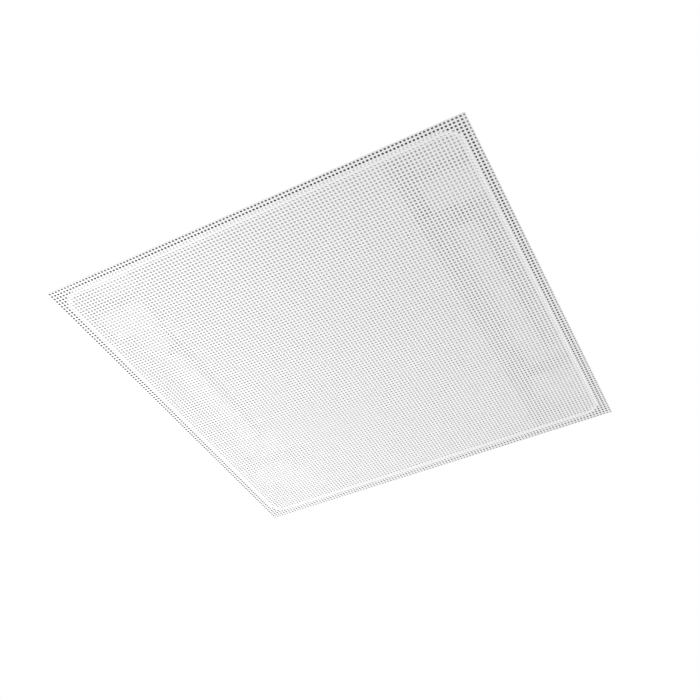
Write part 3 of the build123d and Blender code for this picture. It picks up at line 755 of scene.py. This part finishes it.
def add_floor(scene, height):
    """Wide pale floor with slow, faint patches."""
    mesh = bpy.data.meshes.new("floor")
    signs = ((-1, -1), (1, -1), (1, 1), (-1, 1))
    mesh.from_pydata([(x * FLOOR_HALF, y * FLOOR_HALF, height) for x, y in signs], [], [range(4)])
    floor = bpy.data.objects.new("floor", mesh)
    scene.collection.objects.link(floor)
    material, tree, shader = blank_material("floor_paint")
    tint = effect(
        tree, "mottle", Colour=FLOOR_GREY, Shade=FLOOR_SHADE, Patches_per_metre=FLOOR_PATCHES
    )
    tree.links.new(tint.outputs[0], shader.inputs["Base Color"])
    shader.inputs["Roughness"].default_value = FLOOR_ROUGHNESS
    mesh.materials.append(material)


def add_world(scene, strength):
    """Even light of one strength, with a white background for what the camera sees of it."""
    world = bpy.data.worlds.new("studio")
    scene.world = world
    world.use_nodes = True
    tree = world.node_tree
    tree.nodes.clear()
    rays = tree.nodes.new("ShaderNodeLightPath").outputs
    seen = math_of(tree, "MAXIMUM", rays["Is Camera Ray"], rays["Is Glossy Ray"])
    shown = math_of(tree, "MAXIMUM", seen, rays["Is Transmission Ray"])
    even = node(tree, "Background", {"Color": WHITE, "Strength": strength})
    white = node(tree, "Background", {"Color": WHITE, "Strength": 1.0})
    mixed = node(tree, "MixShader", {0: shown, 1: even.outputs[0], 2: white.outputs[0]})
    out = tree.nodes.new("ShaderNodeOutputWorld")
    tree.links.new(mixed.outputs[0], out.inputs[0])


class TROFFER_OT_stage(bpy.types.Operator):
    """Pale floor, soft lights, white background and the camera"""

    bl_idname = "troffer.stage"
    bl_label = "Stage"

    def execute(self, context):
        scene, levels = context.scene, settings(context, "stage")
        add_camera(scene)
        add_floor(scene, levels.floor)
        add_lamp(scene, "key_lamp", KEY_PLACE, KEY_WIDTH, levels.key)
        add_lamp(scene, "top_lamp", TOP_PLACE, TOP_WIDTH, TOP_POWER)
        add_world(scene, levels.sky)
        scene.view_settings.view_transform = "Standard"
        scene.cycles.diffuse_bounces = BOUNCES
        return {"FINISHED"}


class TROFFER_PT_panel(bpy.types.Panel):
    """Lists the pieces of the troffer light with their sizes"""

    bl_idname = "TROFFER_PT_panel"
    bl_label = "Recessed troffer light"
    bl_space_type = "VIEW_3D"
    bl_region_type = "UI"
    bl_category = "Troffer"

    def draw(self, context):
        for group in GROUP_TYPES:
            box = self.layout.box()
            for key in GROUP_TYPES[group].__annotations__:
                box.prop(settings(context, group), key)
        for operator in OPERATORS:
            self.layout.operator(operator.bl_idname)


GROUP_TYPES = {"face": FaceSizes, "finish": Finishes, "stage": StageLevels}
OPERATORS = (
    TROFFER_OT_face,
    TROFFER_OT_tray,
    TROFFER_OT_light_engine,
    TROFFER_OT_gear,
    TROFFER_OT_leads,
    TROFFER_OT_wiring_box,
    TROFFER_OT_clips,
    TROFFER_OT_stage,
)


def register():
    for kind in (*GROUP_TYPES.values(), *OPERATORS, TROFFER_PT_panel):
        bpy.utils.register_class(kind)
    for group, kind in GROUP_TYPES.items():
        setattr(bpy.types.Scene, "troffer_" + group, PointerProperty(type=kind))


def unregister():
    for group in GROUP_TYPES:
        delattr(bpy.types.Scene, "troffer_" + group)
    for kind in (TROFFER_PT_panel, *reversed(OPERATORS), *reversed(GROUP_TYPES.values())):
        bpy.utils.unregister_class(kind)


def main():
    register()
    make_materials(settings(bpy.context, "finish"))
    for operator in OPERATORS:
        family, action = operator.bl_idname.split(".")
        getattr(getattr(bpy.ops, family), action)()


if __name__ == "__main__":
    main()
